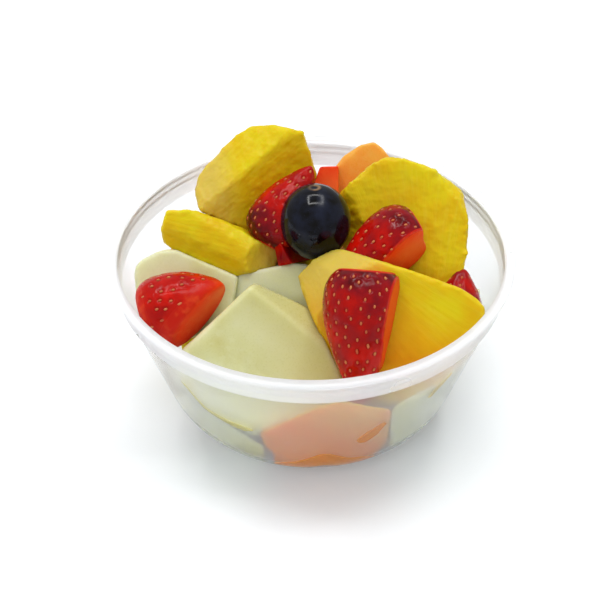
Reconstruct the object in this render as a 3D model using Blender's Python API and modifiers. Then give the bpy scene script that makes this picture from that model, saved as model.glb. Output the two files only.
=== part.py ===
"""Fruit salad in its round see-through plastic bowl: chunks of pineapple, honeydew and cantaloupe melon,
cut strawberries and one black grape, heaped above the rim. Metres, +Z up. The origin is the middle of the
bowl's foot, on the table, and the front of the heap faces -Y."""

from math import atan2, cos, hypot, pi, radians, sin

import bmesh
import bpy
import numpy as np
from mathutils import Euler, Matrix, Vector

MM = 0.001

# The bowl: a thin moulded shell with a foot, a round corner, a leaning wall, a stepped band and a flat lip.
BOWL_HEIGHT = 70.0 * MM
FOOT_RADIUS = 29.2 * MM
FOOT_WIDTH = 4.5 * MM
FOOT_RECESS = 0.8 * MM
CORNER_RADIUS = 27.2 * MM
CORNER_STEPS = 5
WALL_TOP_RADIUS = 68.7 * MM
WALL_TOP_Z = 58.7 * MM
BAND_RADIUS = 70.2 * MM
LIP_RADIUS = 73.1 * MM
LIP_DEPTH = 1.9 * MM
SKIN = 0.9 * MM
BOWL_SIDES = 64

# Pieces that touch stop this far apart, and so does a piece that lies against the bowl.
GAP = 0.3 * MM

# The front slope of the heap leans back by this much. On a piece that lies on it, +Z runs up the slope,
# +X to the right along it, and -Y straight out of it.
SLOPE = radians(-38.0)

# Directions that are tried for the flat contact between two pieces.
CONTACT_DIRECTIONS = 400

# The knife leaves edges that are rounded off by this much, and edges shorter than a sliver are closed up.
EDGE = 1.2 * MM
SLIVER = 0.02 * MM

# How finely the round fruit is faceted, and where a strawberry's hull is cut off, as a share of its length
# from its middle.
BERRY_SIDES = 16
BERRY_RINGS = 10
GRAPE_SIDES = 20
GRAPE_RINGS = 12
HULLED = 0.45

FRUIT = bpy.data.collections.new("fruit_salad")


def clear_scene():
    for obj in list(bpy.data.objects):
        bpy.data.objects.remove(obj)
    bpy.context.scene.collection.children.link(FRUIT)


def finish(name, colour, roughness, clear=0.0):
    """A material from its colour, its roughness and how much light goes through it."""
    material = bpy.data.materials.new(name)
    material.use_nodes = True
    shader = material.node_tree.nodes["Principled BSDF"]
    shader.inputs["Base Color"].default_value = (*colour, 1.0)
    shader.inputs["Roughness"].default_value = roughness
    shader.inputs["Metallic"].default_value = 0.0
    shader.inputs["Transmission Weight"].default_value = clear
    material.diffuse_color = (*colour, 1.0)
    return material


def add_object(name, mesh, material):
    obj = bpy.data.objects.new(name, mesh)
    mesh.materials.append(material)
    FRUIT.objects.link(obj)
    return obj


# ---------------------------------------------------------------- the bowl


def wall_lean():
    """The wall's angle from upright: it touches the corner's arc and ends at the wall's top."""
    to_x = WALL_TOP_RADIUS - FOOT_RADIUS
    to_z = WALL_TOP_Z - CORNER_RADIUS
    straight = (to_x**2 + to_z**2 - CORNER_RADIUS**2) ** 0.5
    return atan2(straight, CORNER_RADIUS) - atan2(to_z, to_x)


def corner_arc(radius):
    """Points (distance from the axis, height) round the corner, from the foot up to the wall."""
    start, end = -pi / 2, -wall_lean()
    turns = [start + (end - start) * i / CORNER_STEPS for i in range(CORNER_STEPS + 1)]
    return [(FOOT_RADIUS + radius * cos(a), CORNER_RADIUS + radius * sin(a)) for a in turns]


def inner_wall_top():
    """Where the inner face of the leaning wall meets the step under the band."""
    lean = wall_lean()
    return (WALL_TOP_RADIUS - SKIN * cos(lean), WALL_TOP_Z + SKIN * sin(lean))


def bowl_section():
    """The bowl's closed half section, from the middle of its floor, over the lip, to the middle below."""
    recess = FOOT_RADIUS - FOOT_WIDTH
    ramp = 3.0 * MM
    step = BAND_RADIUS - WALL_TOP_RADIUS
    inside = [(0.0, FOOT_RECESS + SKIN), (recess - ramp, FOOT_RECESS + SKIN), (recess, SKIN)]
    inside += corner_arc(CORNER_RADIUS - SKIN)
    inside += [inner_wall_top(), (BAND_RADIUS - SKIN, WALL_TOP_Z + SKIN + step)]
    lip = [
        (BAND_RADIUS - SKIN, BOWL_HEIGHT),
        (LIP_RADIUS - 0.5 * LIP_DEPTH, BOWL_HEIGHT),
        (LIP_RADIUS, BOWL_HEIGHT - 0.5 * LIP_DEPTH),
        (LIP_RADIUS - 0.5 * LIP_DEPTH, BOWL_HEIGHT - LIP_DEPTH),
        (BAND_RADIUS, BOWL_HEIGHT - LIP_DEPTH),
    ]
    outside = [(BAND_RADIUS, WALL_TOP_Z + step), (WALL_TOP_RADIUS, WALL_TOP_Z)]
    outside += reversed(corner_arc(CORNER_RADIUS))
    outside += [(recess, 0.0), (recess - ramp, FOOT_RECESS), (0.0, FOOT_RECESS)]
    return inside + lip + outside


def make_bowl(material):
    """The section turned round +Z by a Screw modifier."""
    section = bmesh.new()
    points = [section.verts.new((r, 0.0, z)) for r, z in bowl_section()]
    for a, b in zip(points, points[1:]):
        section.edges.new((a, b))
    mesh = bpy.data.meshes.new("bowl")
    section.to_mesh(mesh)
    section.free()
    bowl = add_object("bowl", mesh, material)
    turn = bowl.modifiers.new("turned", "SCREW")
    turn.axis = "Z"
    turn.steps = turn.render_steps = BOWL_SIDES
    turn.use_merge_vertices = True
    turn.merge_threshold = 0.01 * MM
    return bowl


def bowl_facets():
    """The flat facets of the bowl's inner face, as (outward normal, distance from the origin)."""
    chain = corner_arc(CORNER_RADIUS - SKIN) + [inner_wall_top()]
    facets = [(Vector((0.0, 0.0, -1.0)), -(FOOT_RECESS + SKIN))]
    flat = cos(pi / BOWL_SIDES)
    for side in range(BOWL_SIDES):
        around = 2 * pi * (side + 0.5) / BOWL_SIDES
        out = Vector((cos(around), sin(around), 0.0))
        facets.append((out, (BAND_RADIUS - SKIN) * flat))
        for (r0, z0), (r1, z1) in zip(chain, chain[1:]):
            normal = (out * (z1 - z0) - Vector((0.0, 0.0, (r1 - r0) * flat))).normalized()
            facets.append((normal, normal.dot(out * r0 * flat + Vector((0.0, 0.0, z0)))))
    return facets


# ---------------------------------------------------------------- cutting fruit


def direction(around, lean=0.0):
    """A direction on a piece: around degrees from its +X towards its +Z, then lean degrees towards -Y."""
    a, b = radians(around), radians(lean)
    return Vector((cos(b) * cos(a), -sin(b), cos(b) * sin(a)))


def knife(around, reach, lean=0.0):
    """A straight cut: the way it faces, and how far from the piece's middle it lies, in millimetres."""
    return direction(around, lean), reach * MM


def outline_cuts(outline):
    """The cuts along a convex outline of (x, z) corners in millimetres, given anticlockwise."""
    cuts = []
    for (x0, z0), (x1, z1) in zip(outline, outline[1:] + outline[:1]):
        outward = Vector((z1 - z0, 0.0, x0 - x1)).normalized()
        cuts.append((outward, outward.dot(Vector((x0, 0.0, z0))) * MM))
    return cuts


def slice_past(bm, normal, distance):
    """Cuts away all of a convex solid past a plane, if any, and closes it flat."""
    if max(v.co.dot(normal) for v in bm.verts) <= distance + 1e-7:
        return
    geometry = bm.verts[:] + bm.edges[:] + bm.faces[:]
    cut = bmesh.ops.bisect_plane(
        bm, geom=geometry, dist=1e-7, plane_co=normal * distance, plane_no=normal, clear_outer=True
    )
    edges = [e for e in cut["geom_cut"] if isinstance(e, bmesh.types.BMEdge)]
    if edges:
        bmesh.ops.edgeloop_fill(bm, edges=edges)


class Piece:
    """A convex piece of fruit, in the bowl's coordinates, while the heap is pressed together."""

    def __init__(self, name, material, bm, place, firm, slope):
        lying = Matrix.Rotation(SLOPE, 4, "X") if slope else Matrix.Identity(4)
        bmesh.ops.transform(bm, matrix=Matrix.Translation(Vector(place) * MM) @ lying, verts=bm.verts[:])
        bmesh.ops.recalc_face_normals(bm, faces=bm.faces[:])
        self.name, self.material, self.bm, self.firm = name, material, bm, firm
        PIECES.append(self)

    def points(self):
        return np.array([v.co for v in self.bm.verts])

    def normals(self):
        self.bm.normal_update()
        return np.array([f.normal for f in self.bm.faces if f.normal.length > 0.5])


PIECES = []


def chunk(name, material, place, outline, front, back, cuts=(), firm=1.0, slope=True, turn=(0.0, 0.0, 0.0)):
    """A chunk between knife cuts: an outline seen from the front, front and back millimetres thick about its
    middle, with more cuts across its corners. place is its middle in millimetres. turn is in degrees."""
    bm = bmesh.new()
    bmesh.ops.create_cube(bm, size=160.0 * MM)
    sides = outline_cuts(outline) + [knife(0.0, front, 90.0), knife(0.0, back, -90.0)]
    for normal, distance in sides + list(cuts):
        slice_past(bm, normal, distance)
    bmesh.ops.bevel(
        bm, geom=bm.edges[:], offset=EDGE, segments=1, affect="EDGES", clamp_overlap=True, profile=0.5
    )
    bmesh.ops.dissolve_degenerate(bm, edges=bm.edges[:], dist=SLIVER)
    if any(turn):
        own = Euler([radians(a) for a in turn]).to_matrix()
        bmesh.ops.transform(bm, matrix=own.to_4x4(), verts=bm.verts[:])
    Piece(name, material, bm, place, firm, slope)


def melon_block(name, material, place, size, turn, firm=0.0):
    """A melon cube as it comes off the slice: x across, y thick, z from the rind's side down to the seeds'.
    The rind's side is rounded and a little wider."""
    x, y, z = (s / 2 for s in size)
    taper, crown = 0.12 * x, 0.16 * z
    outline = [
        (-x + taper, -z), (x - taper, -z), (x, z - 2 * crown), (0.55 * x, z - 0.4 * crown),
        (0.0, z), (-0.55 * x, z - 0.4 * crown), (-x, z - 2 * crown),
    ]
    chunk(name, material, place, outline, y, y, firm=firm, slope=False, turn=turn)


def pineapple_block(name, material, place, size, turn, firm=0.0):
    """A pineapple wedge: x across at the skin's side, y thick, z from the skin's side down to the core's."""
    x, y, z = (s / 2 for s in size)
    outline = [
        (-0.45 * x, -z), (0.45 * x, -z), (x, 0.62 * z), (0.5 * x, 0.92 * z), (0.0, z), (-0.5 * x, 0.92 * z),
        (-x, 0.62 * z),
    ]
    chunk(name, material, place, outline, y, y, firm=firm, slope=False, turn=turn)


# ---------------------------------------------------------------- strawberries and the grape


def strawberry_radius(along, widest, sharp):
    """How wide a strawberry is at a share of its length, from the hulled end at 0 to the tip at 1."""
    return widest * max(sin(pi * along**0.55), 0.0) ** sharp


def strawberry(name, material, place, length, widest, tip, cuts, firm=1.0, slope=True, sharp=0.75):
    """A strawberry, hulled flat, with its tip pointing along tip, an (around, lean) direction, and cut by
    the knife afterwards. The smaller sharp is, the blunter is its tip."""
    bm = bmesh.new()
    bmesh.ops.create_uvsphere(bm, u_segments=BERRY_SIDES, v_segments=BERRY_RINGS, radius=1.0)
    for v in bm.verts:
        along = (1.0 - v.co.z) / 2
        flat = max(hypot(v.co.x, v.co.y), 1e-9)
        wide = strawberry_radius(along, widest * MM, sharp) if 1e-6 < along < 1.0 - 1e-6 else 0.0
        v.co = Vector((v.co.x / flat * wide, v.co.y / flat * wide, (0.5 - along) * length * MM))
    slice_past(bm, Vector((0.0, 0.0, 1.0)), HULLED * length * MM)
    aim = Vector((0.0, 0.0, -1.0)).rotation_difference(direction(*tip)).to_matrix()
    bmesh.ops.transform(bm, matrix=aim.to_4x4(), verts=bm.verts[:])
    for normal, distance in cuts:
        slice_past(bm, normal, distance)
    Piece(name, material, bm, place, firm, slope)


def grape(name, material, place, radius, height, firm):
    """A whole grape, a little longer than it's wide."""
    bm = bmesh.new()
    bmesh.ops.create_uvsphere(bm, u_segments=GRAPE_SIDES, v_segments=GRAPE_RINGS, radius=radius * MM)
    bmesh.ops.scale(bm, vec=(1.0, 1.0, height / radius / 2), verts=bm.verts[:])
    Piece(name, material, bm, place, firm, slope=True)


# ---------------------------------------------------------------- how the heap is pressed together


def spread_directions(count):
    """Directions spread evenly over a sphere."""
    golden = pi * (3.0 - 5.0**0.5)
    heights = [1.0 - 2.0 * (i + 0.5) / count for i in range(count)]
    flats = [(1.0 - z * z) ** 0.5 for z in heights]
    return np.array([(r * cos(golden * i), r * sin(golden * i), z) for i, (r, z) in enumerate(zip(flats, heights))])


def press(a, b, tried):
    """Where a and b would share space, they are flattened against each other, across the direction in which
    they overlap least. The firmer one keeps its shape, and equals share."""
    pa, pb = a.points(), b.points()
    if (pa.max(0) < pb.min(0)).any() or (pb.max(0) < pa.min(0)).any():
        return
    tried = np.vstack([tried, a.normals(), -b.normals()])
    near = (tried @ pb.T).min(1)
    depth = (tried @ pa.T).max(1) - near
    best = int(depth.argmin())
    if depth[best] <= -GAP:
        return
    share = 0.5 if a.firm == b.firm else float(a.firm > b.firm)
    normal = Vector(tried[best])
    contact = near[best] + share * depth[best]
    slice_past(a.bm, normal, contact - GAP * (1.0 - share))
    slice_past(b.bm, -normal, -contact - GAP * share)


def press_together():
    """Trims every piece to the inside of the bowl, then presses every two of them."""
    tried = spread_directions(CONTACT_DIRECTIONS)
    facets = bowl_facets()
    for piece in PIECES:
        for normal, distance in facets:
            slice_past(piece.bm, normal, distance - GAP)
    for i, a in enumerate(PIECES):
        for b in PIECES[i + 1 :]:
            press(a, b, tried)


def close_pieces():
    """Makes an object of each pressed piece."""
    for piece in PIECES:
        bmesh.ops.dissolve_degenerate(piece.bm, edges=piece.bm.edges[:], dist=SLIVER)
        bmesh.ops.triangulate(piece.bm, faces=piece.bm.faces[:])
        bmesh.ops.recalc_face_normals(piece.bm, faces=piece.bm.faces[:])
        mesh = bpy.data.meshes.new(piece.name)
        piece.bm.to_mesh(mesh)
        piece.bm.free()
        add_object(piece.name, mesh, piece.material)


# ---------------------------------------------------------------- the fruit


def make_top(pineapple, honeydew, cantaloupe, strawberry_red, grape_black):
    """The pieces that show from above and from the front. They lie on the heap's front slope."""
    grape("grape", grape_black, (1.6, 3.7, 79.6), radius=12.6, height=26.4, firm=4.0)

    chunk(
        "pineapple_back_left", pineapple, (-20.6, 26.6, 81.4),
        [(-21.5, -4), (-20.3, -9.5), (-17.5, -14.4), (8.7, -25.2), (16, -17), (22.5, 2), (17.5, 17), (8, 19.5), (-1, 19.5),
         (-8, 15), (-20, 2)],
        front=11, back=11, cuts=[knife(130, 9.0, 62), knife(-48, 8.6, 60)], firm=2.0,
    )
    chunk(
        "pineapple_left", pineapple, (-32.9, 5.5, 69.0),
        [(-20.5, 4), (-20, 0), (-15.5, -3), (5.5, -12), (20.5, -9), (21, -0.6), (11, 3.6), (-8, 10.7), (-12, 11),
         (-18.5, 11)],
        front=9, back=9, cuts=[knife(60, 9.2, 50), knife(-15, 14.0, 45), knife(-115, 9.0, 60)], firm=2.2,
    )
    chunk(
        "pineapple_back_right", pineapple, (34.5, 18.1, 70.4),
        [(-24, -3), (-20, -19), (-4, -28), (13, -27), (20.5, -18), (22, -4), (20, 9), (15, 14), (3.5, 20),
         (-6, 22), (-12.5, 19), (-23.5, 9)],
        front=9, back=10, cuts=[knife(-150, 15.0, 50), knife(35, 18.5, 45)], firm=1.8,
    )
    chunk(
        "pineapple_front_right", pineapple, (27.9, -23.2, 56.4),
        [(-32.5, 16), (-31, 11), (-27.5, 2), (-16, -22), (3, -25.5), (22, -17.5), (31.5, -3.5), (32, 4.5),
         (29.3, 7.5), (24.6, 10.8), (10.5, 16), (-12.7, 23.4), (-17.5, 24.8), (-22.6, 23.9), (-28.5, 20.3)],
        front=12, back=10, cuts=[knife(112, 22.6, 42), knife(152, 24.0, 45), knife(125, 25.5, -40)], firm=3.3,
    )

    chunk(
        "honeydew_front", honeydew, (-18.6, -31.2, 49.4),
        [(-1.5, 23), (-26, 0), (-26.5, -9), (-17.5, -19.5), (-1, -28.5), (15, -19.5), (29, -9), (21, 12.5)],
        front=10, back=8, cuts=[knife(52, 18.6, 35), knife(-120, 22.0, 40)], firm=3.0,
    )
    chunk(
        "honeydew_middle", honeydew, (-14.0, -5.4, 56.5),
        [(-19, -12), (-8, -22), (18, -22), (16, 3), (12.5, 8), (-1.5, 9), (-8, 8), (-17.5, 3)],
        front=7.5, back=14, cuts=[knife(95, 8.5, 55)], firm=1.4,
    )
    chunk(
        "honeydew_left", honeydew, (-46.3, -5.7, 62.7),
        [(-16, 2), (-15, -10), (-2, -23), (17, -19), (20, 0), (11, 5.5), (2, 8.5), (-6.5, 8.5), (-14, 5)],
        front=7, back=12, cuts=[knife(80, 8.4, 50)], firm=1.6,
    )
    chunk(
        "cantaloupe_top", cantaloupe, (19.3, 44.1, 71.3),
        [(-12, -5), (-9, -14), (8, -16), (14, -3), (11, 4.5), (7, 9.5), (4.2, 11.6), (-1, 10.4), (-7, 6.5),
         (-10.2, 2)],
        front=9, back=12, cuts=[knife(130, 12.0, 50)], firm=1.4,
    )

    strawberry(
        "strawberry_top", strawberry_red, (-8.0, 13.6, 79.0), length=34, widest=12.0, tip=(60, 8),
        cuts=[knife(-32, 9.0, 22), knife(0, 8, -90)], firm=3.4,
    )
    strawberry(
        "strawberry_right", strawberry_red, (24.4, -5.4, 73.0), length=36, widest=13.5, tip=(207, 4),
        cuts=[knife(-47, 7.3, 24), knife(0, 12, -90)], firm=3.2,
    )
    strawberry(
        "strawberry_front", strawberry_red, (17.3, -39.4, 65.2), length=46, widest=14.4, tip=(265, 2),
        cuts=[knife(-11, 9.0, 11), knife(0, 7.5, -90)], firm=3.6,
    )
    strawberry(
        "strawberry_left", strawberry_red, (-44.2, -22.6, 63.0), length=32, widest=13.2, tip=(20, 6),
        cuts=[knife(-38, 7.3, 23), knife(0, 10.5, -90)], firm=2.8, sharp=0.5,
    )
    strawberry(
        "strawberry_edge", strawberry_red, (52.4, -12.1, 55.6), length=24, widest=10.0, tip=(80, 0),
        cuts=[knife(0, 7.0, -90)], firm=1.2,
    )
    strawberry(
        "strawberry_back", strawberry_red, (5.0, 29.0, 73.1), length=24, widest=12.5, tip=(185, 0),
        cuts=[knife(0, 3.5, 80), knife(0, 3.7, -90), knife(92, 10.2), knife(0, 5.8)], firm=1.5,
    )
    strawberry(
        "strawberry_under_grape", strawberry_red, (-6.0, 4.5, 66.1), length=28, widest=12.5, tip=(250, 0),
        cuts=[knife(20, 12.0, 20)], firm=1.3,
    )


def make_front(honeydew, cantaloupe):
    """The pieces that show through the front of the bowl, below the top ones. They stand in the same slope."""
    chunk(
        "cantaloupe_front", cantaloupe, (4.9, -50.4, 28.0),
        [(-22.5, 2.5), (-20.5, -4), (-12.5, -12), (1.5, -15), (16, -10), (21.5, -2.5), (22, 11), (7, 15),
         (-8.5, 10.5)],
        front=32, back=18, firm=0.9,
    )
    chunk(
        "honeydew_front_left", honeydew, (-31.8, -40.2, 21.6),
        [(-17, 13), (-11, 0), (2, -9), (15, -14.5), (15, -3), (-8, 13)],
        front=14, back=18, firm=0.7,
    )
    chunk(
        "honeydew_front_right", honeydew, (40.3, -40.8, 30.5),
        [(-12.5, 3), (-12.5, -14), (-5, -15), (9, 1.5), (20, 19), (6, 14.5)],
        front=22, back=20, firm=0.8,
    )


def make_bottom(pineapple, honeydew, cantaloupe, strawberry_red):
    """The pieces that carry the top ones. They stand or lie in the bowl as they fell."""
    melon_block("cantaloupe_middle", cantaloupe, (2, -12, 20), (44, 34, 32), (-38, 6, 12), firm=0.1)
    pineapple_block("pineapple_bottom_left", pineapple, (-33, 6, 24), (42, 26, 38), (12, -34, 262), firm=0.4)
    pineapple_block("pineapple_bottom_right", pineapple, (38, 4, 24), (42, 28, 38), (-10, -34, 84), firm=0.4)
    melon_block("cantaloupe_back_right", cantaloupe, (22, 38, 25), (42, 30, 38), (-28, 6, 152), firm=0.3)
    melon_block("honeydew_back_left", honeydew, (-20, 38, 25), (42, 30, 38), (-28, -6, 206), firm=0.3)
    melon_block("cantaloupe_left", cantaloupe, (-41, 28, 33), (34, 28, 24), (16, 22, -58), firm=0.5)
    melon_block("honeydew_right", honeydew, (48, 1, 35.5), (30, 22, 28), (8, -26, 76), firm=0.45)
    pineapple_block("pineapple_middle", pineapple, (-12, 16, 45), (42, 28, 34), (-52, 8, 20), firm=0.2)
    melon_block("honeydew_middle_right", honeydew, (18, 4, 48), (38, 30, 34), (-38, 14, -20), firm=0.45)
    melon_block("cantaloupe_back_left", cantaloupe, (-20, 50, 53), (40, 26, 30), (-40, 6, 200), firm=0.6)
    melon_block("honeydew_back", honeydew, (33, 45, 54), (38, 26, 28), (-40, -4, 146), firm=0.6)
    strawberry(
        "strawberry_bottom", strawberry_red, (-20, -22, 34), length=34, widest=13, tip=(20, 40),
        cuts=[knife(200, 6.0)], firm=0.5, slope=False,
    )
    strawberry(
        "strawberry_back_rim", strawberry_red, (5, 52, 50), length=34, widest=13, tip=(190, -20),
        cuts=[knife(270, 7.0)], firm=0.6, slope=False,
    )


clear_scene()
make_bowl(finish("clear_plastic", (0.9, 0.92, 0.93), 0.25, clear=0.9))
PINEAPPLE = finish("pineapple_flesh", (0.78, 0.55, 0.03), 0.35)
HONEYDEW = finish("honeydew_flesh", (0.66, 0.68, 0.36), 0.35)
CANTALOUPE = finish("cantaloupe_flesh", (0.85, 0.35, 0.09), 0.35)
STRAWBERRY = finish("strawberry_skin", (0.62, 0.03, 0.02), 0.3)
GRAPE = finish("grape_skin", (0.012, 0.014, 0.035), 0.2)
make_top(PINEAPPLE, HONEYDEW, CANTALOUPE, STRAWBERRY, GRAPE)
make_front(HONEYDEW, CANTALOUPE)
make_bottom(PINEAPPLE, HONEYDEW, CANTALOUPE, STRAWBERRY)
press_together()
close_pieces()
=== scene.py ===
"""A fruit salad in its round see-through bowl: pineapple, honeydew, cantaloupe, strawberries and one black
grape, each piece of fruit made over the solid that it stands for. Metres, +Z up, the front towards -Y."""

from math import atan, atan2, cos, hypot, pi, radians, sin

import bmesh
import bpy
import numpy as np
from mathutils import Matrix, Vector
from mathutils.bvhtree import BVHTree


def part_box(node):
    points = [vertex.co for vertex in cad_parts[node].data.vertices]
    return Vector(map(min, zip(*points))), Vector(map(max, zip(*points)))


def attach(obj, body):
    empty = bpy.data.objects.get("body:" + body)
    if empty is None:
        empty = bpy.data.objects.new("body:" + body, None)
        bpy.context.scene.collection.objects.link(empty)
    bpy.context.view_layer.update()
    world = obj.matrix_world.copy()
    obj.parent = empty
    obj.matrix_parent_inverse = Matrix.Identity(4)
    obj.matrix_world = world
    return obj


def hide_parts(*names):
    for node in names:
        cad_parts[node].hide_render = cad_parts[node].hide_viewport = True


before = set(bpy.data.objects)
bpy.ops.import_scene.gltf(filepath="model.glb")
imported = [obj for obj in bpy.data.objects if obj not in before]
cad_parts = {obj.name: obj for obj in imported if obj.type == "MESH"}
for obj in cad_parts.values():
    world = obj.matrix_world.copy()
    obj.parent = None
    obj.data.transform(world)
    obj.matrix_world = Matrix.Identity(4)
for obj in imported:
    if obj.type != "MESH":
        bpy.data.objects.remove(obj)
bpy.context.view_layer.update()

# ---------------------------------------------------------------- the bowl
# A deli bowl of thin milky polypropylene, moulded in one piece: a foot ring, a round corner, a leaning wall,
# a stepped band with two fine ribs that a lid snaps over, and a flat lip. The section is turned round the
# axis. Its outside is glossy, and its inside and its band have a fine white frost.

MM = 0.001
BOWL_HEIGHT = 70.0 * MM
FOOT_RADIUS = 29.2 * MM
FOOT_WIDTH = 4.5 * MM
FOOT_RECESS = 0.8 * MM
RECESS_SLOPE = 3.0 * MM
CORNER_RADIUS = 27.2 * MM
CORNER_STEPS = 20
WALL = 0.9 * MM
WALL_TOP_RADIUS = 68.7 * MM
WALL_TOP_Z = 58.7 * MM
BAND_RADIUS = 70.2 * MM
RIB_HEIGHTS = (63.0 * MM, 65.6 * MM)
RIB_HALF = 0.6 * MM
RIB_PROUD = 0.4 * MM
LIP_RADIUS = 73.1 * MM
LIP_DEPTH = 1.9 * MM
LIP_STEPS = 8
LIP_BEVEL = 0.3 * MM
BOWL_SIDES = 256
SAME_PLACE = 0.001 * MM
PLASTIC_IOR = 1.3
# Each finish: its name, how clear it is, how rough, its tint, and how much lamp light goes straight through.
BOWL_FINISHES = (
    ("frosted_inside", 0.955, 0.4, (0.975, 0.985, 1.0), 0.6),
    ("frosted_band", 0.4, 0.3, (0.97, 0.985, 1.0), 0.9),
    ("glossy_outside", 0.99, 0.07, (0.985, 0.99, 1.0), 0.98),
)


def wall_lean():
    """The wall's angle from upright: it touches the corner's arc and ends at the wall's top."""
    to_x = WALL_TOP_RADIUS - FOOT_RADIUS
    to_z = WALL_TOP_Z - CORNER_RADIUS
    straight = (to_x**2 + to_z**2 - CORNER_RADIUS**2) ** 0.5
    return atan2(straight, CORNER_RADIUS) - atan2(to_z, to_x)


def corner_arc(radius):
    """Points (distance from the axis, height) round the corner, from the foot up to the wall."""
    start, end = -pi / 2, -wall_lean()
    turns = [start + (end - start) * i / CORNER_STEPS for i in range(CORNER_STEPS + 1)]
    return [(FOOT_RADIUS + radius * cos(a), CORNER_RADIUS + radius * sin(a)) for a in turns]


def bowl_inside():
    """The frosted inner face, from the middle of the floor up to the top of the band."""
    lean = wall_lean()
    recess = FOOT_RADIUS - FOOT_WIDTH
    step = BAND_RADIUS - WALL_TOP_RADIUS
    return [
        (0.0, FOOT_RECESS + WALL),
        (recess - RECESS_SLOPE, FOOT_RECESS + WALL),
        (recess, WALL),
        *corner_arc(CORNER_RADIUS - WALL),
        (WALL_TOP_RADIUS - WALL * cos(lean), WALL_TOP_Z + WALL * sin(lean)),
        (BAND_RADIUS - WALL, WALL_TOP_Z + WALL + step),
        (BAND_RADIUS - WALL, BOWL_HEIGHT - LIP_BEVEL),
    ]


def bowl_lip():
    """Over the lip and down the band with its ribs, to the step above the wall."""
    half = LIP_DEPTH / 2
    middle = (LIP_RADIUS - half, BOWL_HEIGHT - half)
    under = BOWL_HEIGHT - LIP_DEPTH
    edge = [pi / 2 - pi * i / LIP_STEPS for i in range(LIP_STEPS + 1)]
    lip = [(BAND_RADIUS - WALL + LIP_BEVEL, BOWL_HEIGHT)]
    lip += [(middle[0] + half * cos(a), middle[1] + half * sin(a)) for a in edge]
    lip += [(BAND_RADIUS + LIP_BEVEL, under), (BAND_RADIUS, under - LIP_BEVEL)]
    for height in reversed(RIB_HEIGHTS):
        lip += [
            (BAND_RADIUS, height + RIB_HALF),
            (BAND_RADIUS + RIB_PROUD, height),
            (BAND_RADIUS, height - RIB_HALF),
        ]
    return lip + [(BAND_RADIUS, WALL_TOP_Z + BAND_RADIUS - WALL_TOP_RADIUS)]


def bowl_outside():
    """The glossy outer face, from the top of the wall down to the middle of the foot."""
    recess = FOOT_RADIUS - FOOT_WIDTH
    return [
        (WALL_TOP_RADIUS, WALL_TOP_Z),
        *reversed(corner_arc(CORNER_RADIUS)),
        (recess, 0.0),
        (recess - RECESS_SLOPE, FOOT_RECESS),
        (0.0, FOOT_RECESS),
    ]


def turn(mesh, section, finish):
    """Turns a section round +Z into faces with that finish. A place on the axis is one corner."""
    angles = [2 * pi * i / BOWL_SIDES for i in range(BOWL_SIDES)]
    rings = []
    for radius, height in section:
        places = [Vector((radius * cos(a), radius * sin(a), height)) for a in angles]
        rings.append([mesh.verts.new(p) for p in (places if radius else places[:1])])
    for low, high in zip(rings, rings[1:]):
        for i in range(BOWL_SIDES):
            j = (i + 1) % BOWL_SIDES
            corners = [low[i % len(low)], low[j % len(low)], high[j % len(high)], high[i % len(high)]]
            face = mesh.faces.new(list(dict.fromkeys(corners)))
            face.material_index = finish
            face.smooth = True


def save_mesh(name, body):
    """The mesh that has been built, under a name."""
    mesh = bpy.data.meshes.new(name)
    body.to_mesh(mesh)
    body.free()
    return mesh


def add_object(name, data):
    """A new object in the scene."""
    made = bpy.data.objects.new(name, data)
    bpy.context.scene.collection.objects.link(made)
    return made


def add_node(tree, kind, inputs=None, **settings):
    """A new node with its settings, and its inputs set to a value or fed by another node's output. Colours
    are given as red, green and blue."""
    node = tree.nodes.new(kind)
    for name, value in settings.items():
        setattr(node, name, value)
    for name, value in (inputs or {}).items():
        socket = node.inputs[name]
        if isinstance(value, bpy.types.NodeSocket):
            tree.links.new(value, socket)
        else:
            socket.default_value = (*value, 1.0) if socket.type == "RGBA" else value
    return node


def add_noise(tree, place, scale, detail, distortion=0.0, seed=None):
    """Random clouds from 0 to 1, about as many in a metre as scale says. Each seed gives other clouds."""
    inputs = {"Vector": place, "Scale": scale, "Detail": detail, "Distortion": distortion}
    if seed is None:
        return add_node(tree, "ShaderNodeTexNoise", inputs).outputs[0]
    inputs["W"] = seed
    return add_node(tree, "ShaderNodeTexNoise", inputs, noise_dimensions="4D").outputs[0]


def add_range(tree, value, given, wanted):
    """A value moved from the range that it's given in to the range that's wanted, and held within it."""
    (from_low, from_high), (to_low, to_high) = given, wanted
    node = add_node(
        tree, "ShaderNodeMapRange",
        {"Value": value, "From Min": from_low, "From Max": from_high, "To Min": to_low, "To Max": to_high},
    )
    return node.outputs["Result"]


def add_bump(tree, height, strength, depth):
    """Fine relief in how the surface takes the light."""
    node = add_node(tree, "ShaderNodeBump", {"Height": height, "Strength": strength, "Distance": depth})
    return node.outputs["Normal"]


def new_material(name):
    """An empty material, its tree, its output, and each place on the piece in the piece's own coordinates."""
    material = bpy.data.materials.new(name)
    material.use_nodes = True
    tree = material.node_tree
    tree.nodes.clear()
    output = tree.nodes.new("ShaderNodeOutputMaterial")
    return material, tree, output, add_node(tree, "ShaderNodeTexCoord").outputs["Object"]


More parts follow.
